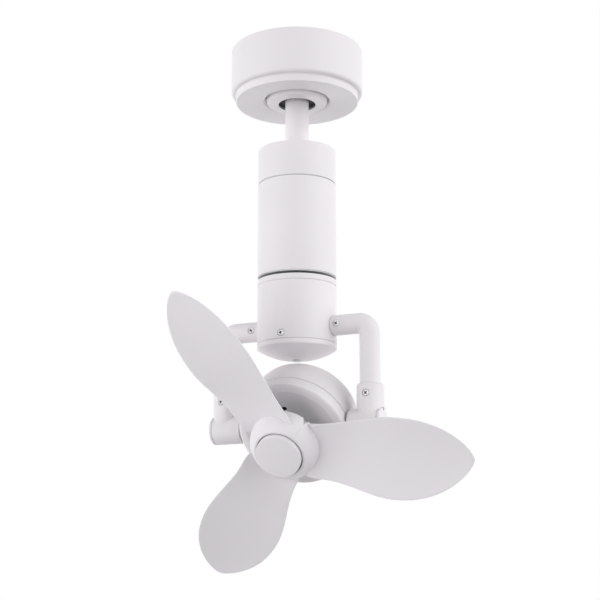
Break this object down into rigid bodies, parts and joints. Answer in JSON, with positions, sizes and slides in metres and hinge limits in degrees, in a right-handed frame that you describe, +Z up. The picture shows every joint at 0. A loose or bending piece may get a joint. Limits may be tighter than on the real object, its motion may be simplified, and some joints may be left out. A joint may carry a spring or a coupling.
{
  "type": "orbital ceiling fan",
  "caption": "White ceiling fan with a leaf-bladed head on a two-armed yoke: the yoke orbits under a cylindrical drive housing and the head tilts between pivot bosses.",
  "frame": {"origin": "centre of the hanger plate's top face, on the ceiling, on the axis of the rod and the drive housing", "axes": "+Z up to the ceiling, the yoke arms along X at rest, the fan head looking along -Y and down at rest"},
  "size_m": [0.3331, 0.2233, 0.5866],
  "materials": {
    "white_paint": "satin",
    "white_casting": "satin",
    "white_plastic": "satin",
    "bright_screw": "polished",
    "zinc_steel": "satin",
    "bearing_steel": "polished",
    "bare_aluminium": "satin",
    "brass_parts": "satin",
    "black_rubber": "matte",
    "black_plastic": "matte",
    "lead_sheath": "matte",
    "grey_motor": "satin",
    "ivory_plastic": "matte",
    "laminations": "dull",
    "copper_wire": "enamelled"
  },
  "bodies": {
    "ceiling": {"hanger_bracket": "zinc_steel", "terminal_block": "ivory_plastic", "socket_screws": "bright_screw", "canopy": "white_paint", "canopy_screws": "bright_screw", "canopy_cover": "white_paint", "ball_socket": "white_paint"},
    "hanging": {"hanger_ball": "black_rubber", "ball_pin": "zinc_steel", "down_rod": "white_paint", "rod_coupling": "zinc_steel", "coupling_pin": "zinc_steel", "upper_cap": "white_paint", "top_plate": "white_paint", "chassis_plate": "zinc_steel", "chassis_posts": "brass_parts", "receiver": "ivory_plastic", "supply_lead": "lead_sheath", "housing_sleeve": "white_paint", "bearing_plate": "bare_aluminium", "orbit_bearing": "bearing_steel", "orbit_motor": "grey_motor", "slip_ring": "black_plastic"},
    "pinion": {"orbit_pinion": "brass_parts"},
    "carrier": {"orbit_shaft": "zinc_steel", "orbit_nut": "zinc_steel", "bearing_inner": "bearing_steel", "orbit_gear": "ivory_plastic", "slip_rotor": "black_plastic", "carrier_ring": "white_paint", "arm_bracket": "bare_aluminium", "lower_housing": "white_paint", "bottom_cap": "white_paint", "cap_button": "white_plastic", "cap_screws": "bright_screw", "arm_left": "white_paint", "arm_right": "white_paint", "yoke_screws": "bright_screw", "tee_left": "white_casting", "tee_right": "white_casting", "pivot_caps": "white_plastic", "motor_lead": "lead_sheath"},
    "head": {"motor_frame": "bare_aluminium", "motor_rear": "white_casting", "motor_front": "white_casting", "stator": "laminations", "windings": "copper_wire", "pivot_studs": "zinc_steel", "friction_washers": "black_rubber", "pivot_nuts": "zinc_steel", "rotor_bearings": "bearing_steel"},
    "rotor": {"rotor": "laminations", "motor_shaft": "zinc_steel", "hub_plate": "bare_aluminium", "blade_1": "white_plastic", "blade_2": "white_plastic", "blade_3": "white_plastic", "centre_cap": "white_plastic", "blade_screws": "bright_screw", "shaft_nut": "zinc_steel"}
  },
  "joints": [
    {"name": "swing", "type": "hinge", "parent": "ceiling", "child": "hanging", "pos_m": [0, 0, -0.0449], "axis": [1, 0, 0], "range_deg": [-15, 15]},
    {"name": "orbit", "type": "hinge", "parent": "hanging", "child": "carrier", "pos_m": [0, 0, -0.2642], "axis": [0, 0, 1], "continuous": true},
    {"name": "pinion_spin", "type": "hinge", "parent": "hanging", "child": "pinion", "pos_m": [0.02615, 0, -0.2087], "axis": [0, 0, 1], "continuous": true},
    {"name": "tilt", "type": "hinge", "parent": "carrier", "child": "head", "pos_m": [0, 0, -0.43269], "axis": [1, 0, 0], "range_deg": [-25, 53]},
    {"name": "spin", "type": "hinge", "parent": "head", "child": "rotor", "pos_m": [0, 0, -0.43269], "axis": [0, -0.7986, -0.6018], "continuous": true}
  ],
  "couplings": [
    {"joint": "pinion_spin", "follows": "orbit", "ratio": -2.7143}
  ]
}
